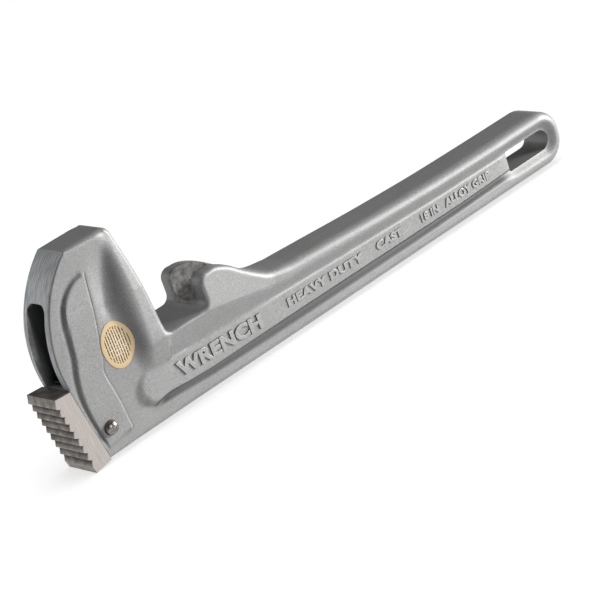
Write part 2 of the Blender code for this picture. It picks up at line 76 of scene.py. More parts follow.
TANG_DEPTH = 14.5
TANG_CHAMFER = 4.0
PIN_PLACE = (14.1, -9.3)  # cross pin's axis, up the seat and out from it
PIN_RADIUS = 4.0
LOW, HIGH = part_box("handle")
ORIGIN = np.array([HIGH.x / MM - GRIP_LENGTH, 0.0, LOW.z / MM])


# ---------------------------------------------------------------- numbers and curves

def to_frame(points):
    """Design millimetres to metres in the frame."""
    return (np.asarray(points, float) + ORIGIN) * MM


def ramp(value, start, end):
    """0 before start, 1 after end, and a smooth S between."""
    t = np.clip((value - start) / (end - start), 0.0, 1.0)
    return t * t * (3.0 - 2.0 * t)


def until(value, start, end):
    """1 before start, 0 after end, and a smooth S between."""
    return 1.0 - ramp(value, start, end)


def mix(a, b, share):
    """a where share is 0, b where it is 1."""
    return a + (b - a) * share


def seat_point(up, out):
    """A point given along the heel-jaw seat and in front of it."""
    x = -up * math.sin(SEAT_TURN) - out * math.cos(SEAT_TURN)
    z = up * math.cos(SEAT_TURN) - out * math.sin(SEAT_TURN)
    return x, z


def arc(center, radius, start, end, count=24):
    """Points on a circle from one angle to another, in degrees."""
    turn = np.radians(np.linspace(start, end, count))
    return np.stack([center[0] + radius * np.cos(turn), center[1] + radius * np.sin(turn)], 1)


def corner(first, knee, last, count=12):
    """A rounded corner: the quadratic Bezier from first to last that is pulled towards knee."""
    t = np.linspace(0, 1, count)[:, None]
    first, knee, last = (np.array(p, float) for p in (first, knee, last))
    return first * (1 - t) ** 2 + knee * 2 * t * (1 - t) + last * t * t


def flowing(knots, count=16):
    """A smooth curve through the knots: Catmull-Rom pieces, with slopes from the neighbours."""
    p = np.array(knots, float)
    p = np.vstack([2 * p[0] - p[1], p, 2 * p[-1] - p[-2]])
    t = np.linspace(0, 1, count, endpoint=False)[:, None, None]
    a, b, c, d = p[:-3], p[1:-2], p[2:-1], p[3:]
    curve = 0.5 * (2 * b + (c - a) * t + (2 * a - 5 * b + 4 * c - d) * t ** 2
                   + (3 * b - a - 3 * c + d) * t ** 3)
    return np.vstack([curve.transpose(1, 0, 2).reshape(-1, 2), p[-2:-1]])


def evenly(points, count):
    """The same polyline, read at count + 1 equal steps of its length."""
    points = np.asarray(points, float)
    steps = np.linalg.norm(np.diff(points, axis=0), axis=1)
    along = np.concatenate([[0.0], np.cumsum(steps)])
    at = np.linspace(0, along[-1], count + 1)
    return np.stack([np.interp(at, along, points[:, i]) for i in range(points.shape[1])], 1)


def distance_to(points, line):
    """Distance from each point to a polyline, and the place along it in vertex counts."""
    a = line[:-1]
    edge = line[1:] - a
    length = np.maximum((edge ** 2).sum(1), 1e-12)
    best = np.empty(len(points))
    place = np.empty(len(points))
    for first in range(0, len(points), 4000):
        p = points[first:first + 4000, None, :] - a[None]
        t = np.clip((p * edge).sum(2) / length, 0, 1)
        gap = np.linalg.norm(p - t[..., None] * edge, axis=2)
        nearest = gap.argmin(1)
        rows = np.arange(len(nearest))
        best[first:first + 4000] = gap[rows, nearest]
        place[first:first + 4000] = nearest + t[rows, nearest]
    return best, place


def inside(points, outline):
    """True where a point lies in a closed outline: an odd number of edges cross its level."""
    x, z = points[:, :1], points[:, 1:]
    ax, az = outline[:, 0], outline[:, 1]
    bx, bz = np.roll(ax, -1), np.roll(az, -1)
    level = bz - az
    level = np.where(np.abs(level) < 1e-12, 1e-12, level)
    crossing = ((az > z) != (bz > z)) & (x < ax + (z - az) * (bx - ax) / level)
    return crossing.sum(1) % 2 == 1


def depth_in(points, outline):
    """Distance inside a closed outline, negative outside."""
    closed = np.vstack([outline, outline[:1]])
    gap, _ = distance_to(points, closed)
    return np.where(inside(points, outline), gap, -gap)


# ---------------------------------------------------------------- meshes

def grid_quads(numbers, wrap_rows=False, wrap_columns=False):
    """The quads of a grid of vertex numbers, joined round where asked."""
    if wrap_rows:
        numbers = np.vstack([numbers, numbers[:1]])
    if wrap_columns:
        numbers = np.hstack([numbers, numbers[:, :1]])
    return np.stack(
        [numbers[:-1, :-1], numbers[1:, :-1], numbers[1:, 1:], numbers[:-1, 1:]], -1).reshape(-1, 4)


def add_piece(name, points, faces, finish=None, sharp=35.0):
    """Put points in design millimetres and a list of faces into a mesh object, faces outwards."""
    points = to_frame(points)
    middle = points.mean(0)
    volume = 0.0
    for face in faces:
        corners = points[np.asarray(face)] - middle
        if corners.ndim == 2:
            corners = corners[None]
        for i in range(1, corners.shape[1] - 1):
            normal = np.cross(corners[:, i], corners[:, i + 1])
            volume += (corners[:, 0] * normal).sum()
    rows = [row for face in faces for row in np.atleast_2d(face).tolist()]
    if volume < 0:
        rows = [row[::-1] for row in rows]
    mesh = bpy.data.meshes.new(name)
    mesh.from_pydata(points.tolist(), [], rows)
    mesh.validate()
    smooth(mesh, sharp, *([finish] if finish else []))
    piece = bpy.data.objects.new(name, mesh)
    bpy.context.scene.collection.objects.link(piece)
    return piece


def through_sections(name, rings, finish=None, sharp=35.0):
    """A closed surface through rings of points, given as (section, point, xyz), with flat ends."""
    rings = np.asarray(rings, float)
    count, around = rings.shape[:2]
    numbers = np.arange(count * around).reshape(count, around)
    faces = [grid_quads(numbers, wrap_columns=True), numbers[0], numbers[-1][::-1]]
    return add_piece(name, rings.reshape(-1, 3), faces, finish, sharp)


def inset(profile, amount):
    """The closed profile moved inwards: each point goes along the mean normal of its two edges."""
    edge = np.roll(profile, -1, 0) - profile
    edge /= np.linalg.norm(edge, axis=1, keepdims=True)
    after = np.roll(profile, -1, 0)
    area = (profile[:, 0] * after[:, 1] - after[:, 0] * profile[:, 1]).sum()
    inward = np.stack([-edge[:, 1], edge[:, 0]], 1) * np.sign(area)
    mean = inward + np.roll(inward, 1, 0)
    mean /= np.maximum((mean ** 2).sum(1, keepdims=True) / 2, 0.35)
    return profile + mean * amount


def across(name, profile, stations, finish=None, sharp=35.0):
    """An XZ profile carried across Y; each station is (y, inset), so that edges can be broken."""
    profile = np.asarray(profile, float)
    rings = []
    for y, amount in stations:
        ring = inset(profile, amount) if amount else profile
        rings.append(np.stack([ring[:, 0], np.full(len(ring), y), ring[:, 1]], 1))
    return through_sections(name, rings, finish, sharp)


def turned(name, profile, place, finish=None, around=48, sharp=35.0):
    """A profile of (radius, height) turned round an axis; place(across, along, up) sets the points.

    The first and last radius are the poles, which close in one vertex each.
    """
    profile = np.asarray(profile, float)
    turn = np.linspace(0, 2 * np.pi, around, endpoint=False)
    radius, height = profile[1:-1, 0], profile[1:-1, 1]
    a = np.cos(turn)[None] * radius[:, None]
    b = np.sin(turn)[None] * radius[:, None]
    h = np.repeat(height[:, None], around, 1)
    points = place(a.ravel(), b.ravel(), h.ravel())
    poles = place(np.zeros(2), np.zeros(2), profile[[0, -1], 1])
    numbers = np.arange(radius.size * around).reshape(radius.size, around)
    low = np.full(around, numbers.size)
    high = np.full(around, numbers.size + 1)
    caps = [
        np.stack([low, np.roll(numbers[0], -1), numbers[0]], 1),
        np.stack([high, numbers[-1], np.roll(numbers[-1], -1)], 1),
    ]
    faces = [grid_quads(numbers, wrap_columns=True)] + caps
    return add_piece(name, np.vstack([points, poles]), faces, finish, sharp)


def cut(piece, tools):
    """Cut closed tools from a closed piece and keep the result as its mesh."""
    for tool in tools:
        step = piece.modifiers.new(tool.name, "BOOLEAN")
        step.operation = "DIFFERENCE"
        step.solver = "MANIFOLD"
        step.object = tool
    bpy.context.view_layer.update()
    graph = bpy.context.evaluated_depsgraph_get()
    made = bpy.data.meshes.new_from_object(piece.evaluated_get(graph))
    piece.modifiers.clear()
    piece.data = made
    for tool in tools:
        bpy.data.objects.remove(tool)
    return piece


def design_points(mesh):
    """A mesh's vertices, back in design millimetres."""
    flat = np.empty(len(mesh.vertices) * 3, np.float32)
    mesh.vertices.foreach_get("co", flat)
    return flat.reshape(-1, 3) / MM - ORIGIN


def paint(mesh, name, values):
    """Keep one value per vertex as a named attribute for the materials to read."""
    layer = mesh.attributes.new(name, "FLOAT", "POINT")
    layer.data.foreach_set("value", values.astype(np.float32))


def smooth(mesh, sharp, *finishes):
    """Smooth shading that breaks at edges sharper than an angle, and the mesh's finishes."""
    mesh.shade_smooth()
    mesh.set_sharp_from_angle(angle=math.radians(sharp))
    mesh.materials.clear()
    for finish in finishes:
        mesh.materials.append(finish)


# ---------------------------------------------------------------- materials

def hue(code):
    """An sRGB hex colour as linear RGBA."""
    parts = [int(code[i:i + 2], 16) / 255 for i in (1, 3, 5)]
    line = [p / 12.92 if p <= 0.04045 else ((p + 0.055) / 1.055) ** 2.4 for p in parts]
    return (*line, 1.0)


def feed(tree, made, inputs):
    """Fill a node's sockets, each with another node's output or with a plain value."""
    for key, source in inputs.items():
        if isinstance(source, bpy.types.NodeSocket):
            tree.links.new(source, made.inputs[key])
        else:
            made.inputs[key].default_value = source


def node(tree, kind, inputs=None, stops=(), **settings):
    """Add a node with what goes into its sockets and, for a colour ramp, its (position, hex) stops.

    The settings are the node's own attributes or the values of named sockets.
    """
    made = tree.nodes.new("ShaderNode" + kind)
    for key, value in settings.items():
        if hasattr(made, key):
            setattr(made, key, value)
        else:
            made.inputs[key.replace("_", " ")].default_value = value
    for end, (position, color) in enumerate(stops):
        made.color_ramp.elements[end].position = position
        made.color_ramp.elements[end].color = hue(color)
    feed(tree, made, inputs or {})
    return made


def base_finish(name, color, roughness, metallic=1.0):
    """A Principled material to build on: the tree, its shader and Object coordinates."""
    made = bpy.data.materials.new(name)
    made.use_nodes = True
    tree = made.node_tree
    shader = tree.nodes["Principled BSDF"]
    feed(tree, shader, {"Base Color": hue(color), "Roughness": roughness, "Metallic": metallic})
    spot = node(tree, "TexCoord").outputs["Object"]
    return made, tree, shader, spot


def cast_aluminium():
    """Sand-cast, tumbled aluminium: grey, with a fine sparkling skin.

    The front face is ground; hollow places are darkened with painted shade.
    """
    made, tree, shader, spot = base_finish("cast_aluminium_tumbled", "#8E8E8E", 0.5, 0.52)
    grain_mm = 0.7        # real grain is 0.3 mm; drawn coarser so that it shows
    cloud_mm = 14.0       # slow change of tone from place to place
    stain_mm = 3.2        # dirt and scale in the rough channel
    wheel_mm = (7.0, 0.45, 9.0)    # grinding marks run along the front face, 0.45 mm apart
    grain = node(tree, "TexNoise", {"Vector": spot}, Scale=1 / (grain_mm * MM), Detail=3.0)
    cloud = node(tree, "TexNoise", {"Vector": spot}, Scale=1 / (cloud_mm * MM), Detail=3.0)
    tone = node(tree, "ValToRGB", {"Fac": grain.outputs["Fac"]}, [(0.32, "#7B7B7B"), (0.68, "#959594")])
    patch = node(tree, "MapRange", {"Value": cloud.outputs["Fac"]}, To_Min=0.88, To_Max=1.06)
    tinted = node(tree, "VectorMath", {0: tone.outputs["Color"], 1: patch.outputs["Result"]},
                  operation="MULTIPLY")
    wheel = node(tree, "Mapping", {"Vector": spot}, Scale=tuple(1 / (mm * MM) for mm in wheel_mm))
    lines = node(tree, "TexNoise", {"Vector": wheel.outputs["Vector"]}, Scale=1.0, Detail=4.0)
    swept = node(tree, "ValToRGB", {"Fac": lines.outputs["Fac"]}, [(0.35, "#84878A"), (0.66, "#BFC2C4")])
    stain = node(tree, "TexNoise", {"Vector": spot}, Scale=1 / (stain_mm * MM), Detail=5.0,
                 Roughness=0.6)
    dirty = node(tree, "ValToRGB", {"Fac": stain.outputs["Fac"]}, [(0.40, "#545250"), (0.58, "#757371")])
    ground = node(tree, "Attribute", attribute_name="ground").outputs["Fac"]
    rough = node(tree, "Attribute", attribute_name="as_cast").outputs["Fac"]
    deep = node(tree, "Attribute", attribute_name="painted_shade").outputs["Fac"]
    first = node(tree, "Mix", {0: ground, 6: tinted.outputs[0], 7: swept.outputs["Color"]},
                 data_type="RGBA")
    second = node(tree, "Mix", {0: rough, 6: first.outputs[2], 7: dirty.outputs["Color"]},
                  data_type="RGBA")
    # painted shade: in the hollow places the colour falls to 0.26 of itself
    shade = node(tree, "MapRange", {"Value": deep}, To_Min=1.0, To_Max=0.26)
    shaded = node(tree, "VectorMath", {0: second.outputs[2], 1: shade.outputs["Result"]},
                  operation="MULTIPLY")
    gloss = node(tree, "MapRange", {"Value": grain.outputs["Fac"]}, To_Min=0.48, To_Max=0.66)
    skin = node(tree, "Bump", {"Height": grain.outputs["Fac"]}, Strength=0.4, Distance=0.08 * MM)
    feed(tree, shader, {"Base Color": shaded.outputs[0], "Roughness": gloss.outputs["Result"],
                        "Normal": skin.outputs["Normal"]})
    return made


def jaw_steel():
    """Forged alloy steel, ground on its sides: pinkish grey with fine straight grinding lines."""
    made, tree, shader, spot = base_finish("ground_alloy_steel", "#B9B2AC", 0.42)
    line_mm = (0.5, 0.5, 12.0)     # grinding lines 0.5 mm apart, 12 mm long up the jaw
    wheel = node(tree, "Mapping", {"Vector": spot}, Scale=tuple(1 / (mm * MM) for mm in line_mm))
    lines = node(tree, "TexNoise", {"Vector": wheel.outputs["Vector"]}, Scale=1.0, Detail=3.0)
    tone = node(tree, "ValToRGB", {"Fac": lines.outputs["Fac"]}, [(0.3, "#A29B97"), (0.7, "#BBB4B0")])
    skin = node(tree, "Bump", {"Height": lines.outputs["Fac"]}, Strength=0.12, Distance=0.04 * MM)
    feed(tree, shader, {"Base Color": tone.outputs["Color"], "Normal": skin.outputs["Normal"]})
    return made


def plain_steel(name, dark, light, roughness, grain_mm):
    """Bright or oiled steel: two close greys in a fine noise, with a faint skin."""
    made, tree, shader, spot = base_finish(name, light, roughness)
    grain = node(tree, "TexNoise", {"Vector": spot}, Scale=1 / (grain_mm * MM), Detail=4.0)
    tone = node(tree, "ValToRGB", {"Fac": grain.outputs["Fac"]}, [(0.35, dark), (0.65, light)])
    skin = node(tree, "Bump", {"Height": grain.outputs["Fac"]}, Strength=0.2, Distance=0.05 * MM)
    feed(tree, shader, {"Base Color": tone.outputs["Color"], "Normal": skin.outputs["Normal"]})
    return made


def forged_steel():
    """Forged faces that no wheel has touched: grey-brown, mottled by scale, with painted shade in tooth
    roots.
    """
    made, tree, shader, spot = base_finish("forged_steel_scale", "#6C6660", 0.5)
    scale_mm = 5.0
    blot = node(tree, "TexNoise", {"Vector": spot}, Scale=1 / (scale_mm * MM), Detail=5.0,
                Roughness=0.6)
    tone = node(tree, "ValToRGB", {"Fac": blot.outputs["Fac"]}, [(0.38, "#7A7570"), (0.62, "#A49E98")])
    deep = node(tree, "Attribute", attribute_name="painted_shade").outputs["Fac"]
    # painted shade: the tooth roots fall to 0.22 of the colour
    shade = node(tree, "MapRange", {"Value": deep}, To_Min=1.0, To_Max=0.22)
    shaded = node(tree, "VectorMath", {0: tone.outputs["Color"], 1: shade.outputs["Result"]},
                  operation="MULTIPLY")
    skin = node(tree, "Bump", {"Height": blot.outputs["Fac"]}, Strength=0.2, Distance=0.1 * MM)
    feed(tree, shader, {"Base Color": shaded.outputs[0], "Normal": skin.outputs["Normal"]})
    return made


def label_paper():
    """Gold-tinted printed label: rows of dark generic dashes run upwards inside a plain border."""
    made, tree, shader, spot = base_finish("printed_gold_paper", "#C9AF88", 0.5, 0.0)
    low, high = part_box("label")
    middle, half = (low + high) / 2, (high - low) / 2
    row_mm, dash_mm = 1.565, 1.133          # from row to row, and from dash to dash along a row
    rows_across = half.x / (row_mm * MM)
    dashes_up = half.z / (dash_mm * MM)
    local = node(tree, "VectorMath", {0: spot, 1: middle}, operation="SUBTRACT")
    oval = node(tree, "VectorMath", {0: local.outputs[0], 1: (1 / half.x, 0, 1 / half.z)},
                operation="MULTIPLY")
    reach = node(tree, "VectorMath", {0: oval.outputs[0]}, operation="LENGTH").outputs["Value"]
    paper = node(tree, "ValToRGB", {"Fac": reach}, [(0.35, "#CDBA9A"), (0.97, "#B59C75")])
    parts = node(tree, "SeparateXYZ", {"Vector": oval.outputs[0]})
    rows = node(tree, "Math", {0: parts.outputs["X"], 1: rows_across}, operation="MULTIPLY")
    within = node(tree, "Math", {0: rows.outputs[0]}, operation="FRACT")
    in_row = node(tree, "Math", {0: within.outputs[0], 1: 0.5}, operation="GREATER_THAN")
    number = node(tree, "Math", {0: rows.outputs[0]}, operation="FLOOR")
    along = node(tree, "Math", {0: parts.outputs["Z"], 1: dashes_up}, operation="MULTIPLY")
    place = node(tree, "CombineXYZ", {"X": number.outputs[0], "Z": along.outputs[0]})
    dashes = node(tree, "TexNoise", {"Vector": place.outputs[0]}, Scale=1.0, Detail=3.0,
                  Roughness=0.8)
    inked = node(tree, "Math", {0: dashes.outputs["Fac"], 1: 0.45}, operation="GREATER_THAN")
    room = node(tree, "Math", {0: reach, 1: 0.8}, operation="LESS_THAN")
    rows_inked = node(tree, "Math", {0: in_row.outputs[0], 1: inked.outputs[0]},
                      operation="MULTIPLY")
    ink = node(tree, "Math", {0: rows_inked.outputs[0], 1: room.outputs[0]}, operation="MULTIPLY")
    color = node(tree, "Mix", {0: ink.outputs[0], 6: paper.outputs["Color"], 7: hue("#43382D")},
                 data_type="RGBA")
    feed(tree, shader, {"Base Color": color.outputs[2]})
    return made


# ---------------------------------------------------------------- the casting's side outline

FRONT_RIBS = 96           # ribs on the ground front face
SEAT_RIBS = 60            # ribs on the heel-jaw seat
PAD_RIBS = FRONT_RIBS + SEAT_RIBS
PAD_LINE_ROWS = 46        # rows from the front and underside to the spine
REAR_ROWS = 40            # rows from the spine to the rear and top


def front_arc():
    """The ground front face: an arc from the flat top's front edge down to the heel-jaw seat."""
    a = np.array([HEAD_TOP_FRONT, HEAD_HEIGHT])
    b = np.array(seat_point(SEAT_HEIGHT, 0))
    half = np.linalg.norm(b - a) / 2
    normal = np.array([a[1] - b[1], b[0] - a[0]]) / (2 * half)
    center = (a + b) / 2 + normal * math.sqrt(HEAD_FRONT_RADIUS ** 2 - half ** 2)
    angles = [math.degrees(math.atan2(*(p - center)[::-1])) % 360 for p in (a, b)]
    return arc(center, HEAD_FRONT_RADIUS, *angles, 60)


def spans():
    """The stretches of the casting from the housing's top to the hanging end.

    Each has its number of ribs, the line on the front and underside, the spine that the ribs bend
    on, the line on the rear and top, and the edge rounding at the start and end of both lines.
    """
    seat = seat_point(SEAT_HEIGHT, 0)
    rear = flowing([(50.9, 109.0), (53.4, 92.0), (55.4, 74.0), (57.2, 49.5)])
    rear_top = corner((46.0, HEAD_HEIGHT - 0.1), (50.2, HEAD_HEIGHT - 0.4), (50.8, 110.0))
    cheek = np.vstack([
        arc((82.5, 51.0), 5.0, -90, 0, 10), [(WINDOW_REAR, 58.5)],
        arc((93.5, 58.5), 6.0, 180, 92, 14)])
    hump = flowing([(93.3, 64.5), (101.0, 64.0), (110.0, 59.8), (118.0, 53.4), (127.0, 46.8)])
    fall = flowing([(127.0, 46.8), (136.0, 42.0), (150.0, 39.8)])
    top = flowing([
        (150.0, 39.8), (180.0, 38.1), (218.0, 35.9), (262.0, 34.1), (300.0, 33.4),
        (END_START, GRIP_DEPTH)])
    middle = GRIP_DEPTH / 2
    return [
        (FRONT_RIBS, front_arc(), flowing([(30, 115.4), (25.3, 98), (21.3, 74.6), (16.3, 50.5)]),
         np.vstack([rear_top, rear]), (1.0, 0.9), (2.2, 3.4)),
        (SEAT_RIBS, [seat, (0, 0)],
         flowing([(16.3, 50.5), (14.8, 44.3), (17.9, 25.9), (19.6, 8.1)]),
         np.vstack([corner((57.2, 49.5), (57.5, 46), (61, 46)), [(66, 46)]]),
         (0.5, 0.5), (3.4, 2.2)),
        (84, [(0, 0), (62, 0)], [(19.6, 8.1), (84, 38)], [(66, 46), (82.5, 46)],
         (2.0, 3.4), (2.2, 2.2)),
        (40, [(62, 0), (80, 0)], [(84, 38), (95, 40)], cheek, (3.4, 3.4), (2.2, 2.4)),
        (44, [(80, 0), (112, 0)], [(95, 40), (118, 34)], hump, (3.4, 3.4), (2.4, 3.4)),
        (30, [(112, 0), (140, 0)], [(118, 34), (145, 20)], fall, (3.4, 3.4), (3.4, 5.2)),
        (64, [(140, 0), (END_START, 0)], [(145, 20), (END_START, middle)], top,
         (3.4, 3.4), (5.2, 6.0)),
        (26, arc((END_START, END_RADIUS), END_RADIUS, -90, 0),
         [(END_START, middle), (GRIP_LENGTH, middle)],
         arc((END_START, GRIP_DEPTH - END_RADIUS), END_RADIUS, 90, 0), (3.4, 5.0), (6.0, 5.0)),
    ]


def ribs():
    """The casting's side as a grid of XZ points, its three guide lines and its edge rounding.

    Each rib runs from the lower guide to the spine and on to the upper one, with rows drawn
    closer at its ends. Along the grip the rows follow the groove's edges, so that it stays crisp.
    """
    guides = [[], [], []]
    rounding = [[], []]
    for count, lower, spine, upper, lower_round, upper_round in spans():
        for kept, line in zip(guides, (lower, spine, upper)):
            points = evenly(line, count)
            kept.append(points if not kept else points[1:])
        for kept, (start, end) in zip(rounding, (lower_round, upper_round)):
            values = np.linspace(start, end, count + 1)
            kept.append(values if not kept else values[1:])
    lower, spine, upper = (np.vstack(g) for g in guides)
    low_round, high_round = (np.concatenate(r) for r in rounding)
    v = np.linspace(0, 1, PAD_LINE_ROWS + 1)
    first = v - 0.72 * np.sin(2 * np.pi * v) / (2 * np.pi)
    w = np.linspace(0, 1, REAR_ROWS + 1)[1:]
    second = w - 0.6 * np.sin(2 * np.pi * w) / (2 * np.pi)
    share = np.repeat(first[None], len(lower), 0)
    x = mix(lower[:, 0], spine[:, 0], 0.3)
    groove_low, groove_high = bead_crest(x) - 1.0, band_low(x)
    stops = np.stack([
        0 * x, groove_low, groove_high - 2.0, groove_high - 0.7, groove_high + 0.7, spine[:, 1]], 1)
    rows_at = (0, 0.22, 0.44, 0.54, 0.66, 1)
    groove = np.array([np.interp(v, rows_at, row / row[-1]) for row in stops])
    share = mix(share, groove, ramp(np.arange(len(lower)), PAD_RIBS + 2, PAD_RIBS + 30)[:, None])
    left = lower[:, None] + (spine - lower)[:, None] * share[..., None]
    right = spine[:, None] + (upper - spine)[:, None] * second[None, :, None]
    grid = np.concatenate([left, right], 1)
    return grid, lower, spine, upper, low_round, high_round


# ---------------------------------------------------------------- the casting's relief

def band_low(x):
    """Height of the lettering band's lower edge."""
    return np.interp(x, (37, 48, 56, 80, 172, 278, 321), (12.4, 13.6, 13.4, 12.1, 11.2, 10.5, 11.4))


def bead_crest(x):
    """Height of the bottom bead's upper edge, where the groove starts."""
    return np.interp(x, (36, 48, 76, 121, 236, 317), (8.2, 8.0, 6.4, 5.4, 5.2, 6.6))


def band_high(x):
    """Height of the lettering band's upper edge."""
    return np.interp(x, (41, 61, 124, 190, 265, 319), (32.5, 31.0, 26.6, 24.0, 21.8, 21.4))


def band_level(x):
    """Half the casting's width across the lettering bands."""
    return np.interp(x, (34, 55, 75, 100, 150, 210), (15.2, 14.4, 13.8, 13.0, 12.0, 11.6))


def pad_line_x(z):
    """X of the pad's rear edge."""
    return np.interp(z, (8.1, 25.9, 44.3, 50.5, 74.6, 98.0), (19.6, 17.9, 14.8, 16.3, 21.3, 25.3))


def housing_plane(x, z):
    """The housing's flat side: wider rearwards, less so near the underside, narrower upwards."""
    flare = np.interp(z, (15, 50), (0.0, 0.06))
    return 12.5 + flare * (x + 8.6) - 0.055 * np.maximum(z - 80, 0)


def flute_edges(z):
    """X where the flute behind the pad starts to rise, and X where it has reached the rear rim."""
    start = np.interp(z, (30, 55, 77, 109), (36.0, 32.0, 29.3, 40.0))
    return start, np.interp(z, (35, 85, 109), (45.5, 47.6, 47.2))


def housing_side(x, z):
    """The flat side, scooped behind the pad, then rising in a long S to the rounded rear rim."""
    start, end = flute_edges(z)
    crest = np.interp(z, (28, 46, 60, 78, 100, 115), (14.1, 20.0, 19.9, 18.8, 15.2, 12.2))
    crest = crest - 0.1 * np.maximum(x - end, 0) * ramp(z, 44, 58)
    scoop = 2.4 * np.exp(-((z - 86) / 17) ** 2) * ramp(x, pad_line_x(z) + 1.0, start + 2)
    return mix(housing_plane(x, z) - scoop, crest, ramp(x, start, end))


def upper_side(x, z):
    """Shoulders, cheeks and top flange: from a crease over the band out to the full width."""
    root = band_level(x) - 0.5
    full = np.interp(x, (WINDOW_REAR, 137, 220), (20.0, 14.7, 14.5))
    reach = np.interp(x, (WINDOW_REAR, 140, GRIP_LENGTH), (15.5, 8.0, 7.5))
    share = np.clip((z - band_high(x)) / reach, 0, 1)
    flange = ramp(x, WINDOW_REAR, 145)
    return mix(root, full, mix(share, share * share * (3 - 2 * share), flange))


def lower_side(x, z):
    """The bottom bead and the groove over it, deepest under the band's lower edge."""
    bead = 12.5 - 2.3 * ramp(z, bead_crest(x), band_low(x) - 0.5) * ramp(x, 34, 46)
    return mix(housing_plane(x, z), bead, ramp(x, 30, 38))


def end_side(z, edge):
    """Round the hang slot the flange wraps the end: full width outside, thinner inwards."""
    share = np.clip(z / GRIP_DEPTH, 0, 1)
    full = mix(12.5, 14.5, share)
    root = mix(9.6, 11.2, share)
    return mix(full, root, ramp(edge, 4.5, 10.5))


def band_share(x, z):
    """1 on the raised lettering band and 0 off it; its nose is round and slopes gently."""
    low, high = band_low(x), band_high(x)
    depth = (high - low) / 2 - np.hypot(np.maximum(41 - x, 0) * 0.95, z - (high + low) / 2)
    slope = np.interp(x, (41, 62), (4.2, 1.4))
    return ramp(depth, -slope / 2, slope / 2)


def pad_outline():
    """The raised pad's edge: front, top and bottom; its rear lies past the pad line."""
    front = flowing([
        (25.3, 99.6), (18.2, 98.6), (11.9, 95.0), (7.0, 89.6), (4.0, 82.1), (2.6, 72.2),
        (1.0, 61.0), (-1.9, 49.6), (-3.1, 38.6), (-2.2, 26.2), (0.1, 14.0), (1.6, 5.4)])
    return np.vstack([[(34, 99.6)], front, [(19.6, 8.1), (30, 9.7)]])


def half_width(points, edge):
    """Half the casting's width at XZ points, before its edges are rounded."""
    x, z = points[..., 0], points[..., 1]
    upper = mix(housing_side(x, z), upper_side(x, z), ramp(x, 56.4, 57.2))
    middle = (band_low(x) + band_high(x)) / 2
    around = np.where(z > middle, upper, lower_side(x, z))
    side = mix(around, band_level(x), band_share(x, z))
    return mix(side, end_side(z, edge), ramp(x, 316, 324))


def rim(lower, upper, low_round, high_round):
    """The side's whole outline, from the hanging end round by the top, and its edge rounding."""
    top = np.linspace(lower[0], upper[0], 30)
    end = np.linspace(lower[-1], upper[-1], 4)
    outline = np.vstack([lower[::-1], top[1:], upper[1:], end[::-1][1:]])
    radius = np.concatenate([
        low_round[::-1], np.linspace(1.4, 3.4, len(top) - 1), high_round[1:],
        np.full(len(end) - 1, 5.0)])
    return outline, radius


def add_pad(side, flat, station, row, spine):
    """Raise the pad on the side, with a hollow foot round it and a fine groove down its rear."""
    x, z = flat[:, 0], flat[:, 1]
    depth = depth_in(flat, pad_outline())
    slope = np.interp(z, (10, 30), (1.0, 2.6))
    ahead = row <= PAD_LINE_ROWS
    on_pad = ramp(depth, -slope / 2, slope / 2) * ahead * (station <= PAD_RIBS)
    side = mix(side, housing_plane(pad_line_x(z), z) + 0.3, on_pad)
    before_line = ramp(pad_line_x(z) - x, 1, 4) * ahead
    foot = 0.7 * np.exp(-(np.minimum(depth, 0) / 2.0) ** 2)
    side = side - foot * (1 - on_pad) * before_line * ramp(z, 4, 14)
    to_line, _ = distance_to(flat, spine[:PAD_RIBS + 1])
    return side - 0.42 * np.exp(-(to_line / 0.45) ** 2) * ramp(z, 6, 9) * until(z, 98, 100.5)


def casting_surface():
    """The casting as one closed surface.

    Over a grid of ribs that run from the front and underside to the rear and top, y is plus and
    minus the half width; near the outline it is rounded as r - sqrt(r^2 - (r - distance)^2). A
    strip across Y joins the two sides all round.
    """
    grid, lower, spine, upper, low_round, high_round = ribs()
    count, rows = grid.shape[:2]
    outline, radius = rim(lower, upper, low_round, high_round)
    flat = grid.reshape(-1, 2)
    edge, place = distance_to(flat, outline)
    r = np.interp(place, np.arange(len(radius)), radius)
    station = np.repeat(np.arange(count), rows)
    row = np.tile(np.arange(rows), count)
    side = add_pad(half_width(flat, edge), flat, station, row, spine)
    short = np.clip(r - edge, 0, None)
    side = side - (r - np.sqrt(np.maximum(r * r - short * short, 0)))
    near = np.stack([flat[:, 0], -side, flat[:, 1]], 1)
    far = near * (1, -1, 1)
    numbers = np.arange(len(flat)).reshape(count, rows)
    ring = np.concatenate([
        numbers[0, :-1], numbers[:-1, -1], numbers[-1, :0:-1], numbers[:0:-1, 0]])
    steps = np.linspace(-1, 1, 9)[1:-1, None, None]
    strip = near[ring] * (1, 0, 1) - steps * near[ring] * (0, 1, 0)
    strip_numbers = 2 * len(flat) + np.arange(strip[..., 0].size).reshape(strip.shape[:2])
    bands = np.vstack([ring, strip_numbers, ring + len(flat)])
    points = np.vstack([near, far, strip.reshape(-1, 3)])
    faces = [
        grid_quads(numbers), grid_quads(numbers + len(flat))[:, ::-1],
        grid_quads(bands, wrap_columns=True)[:, ::-1]]
    return points, faces


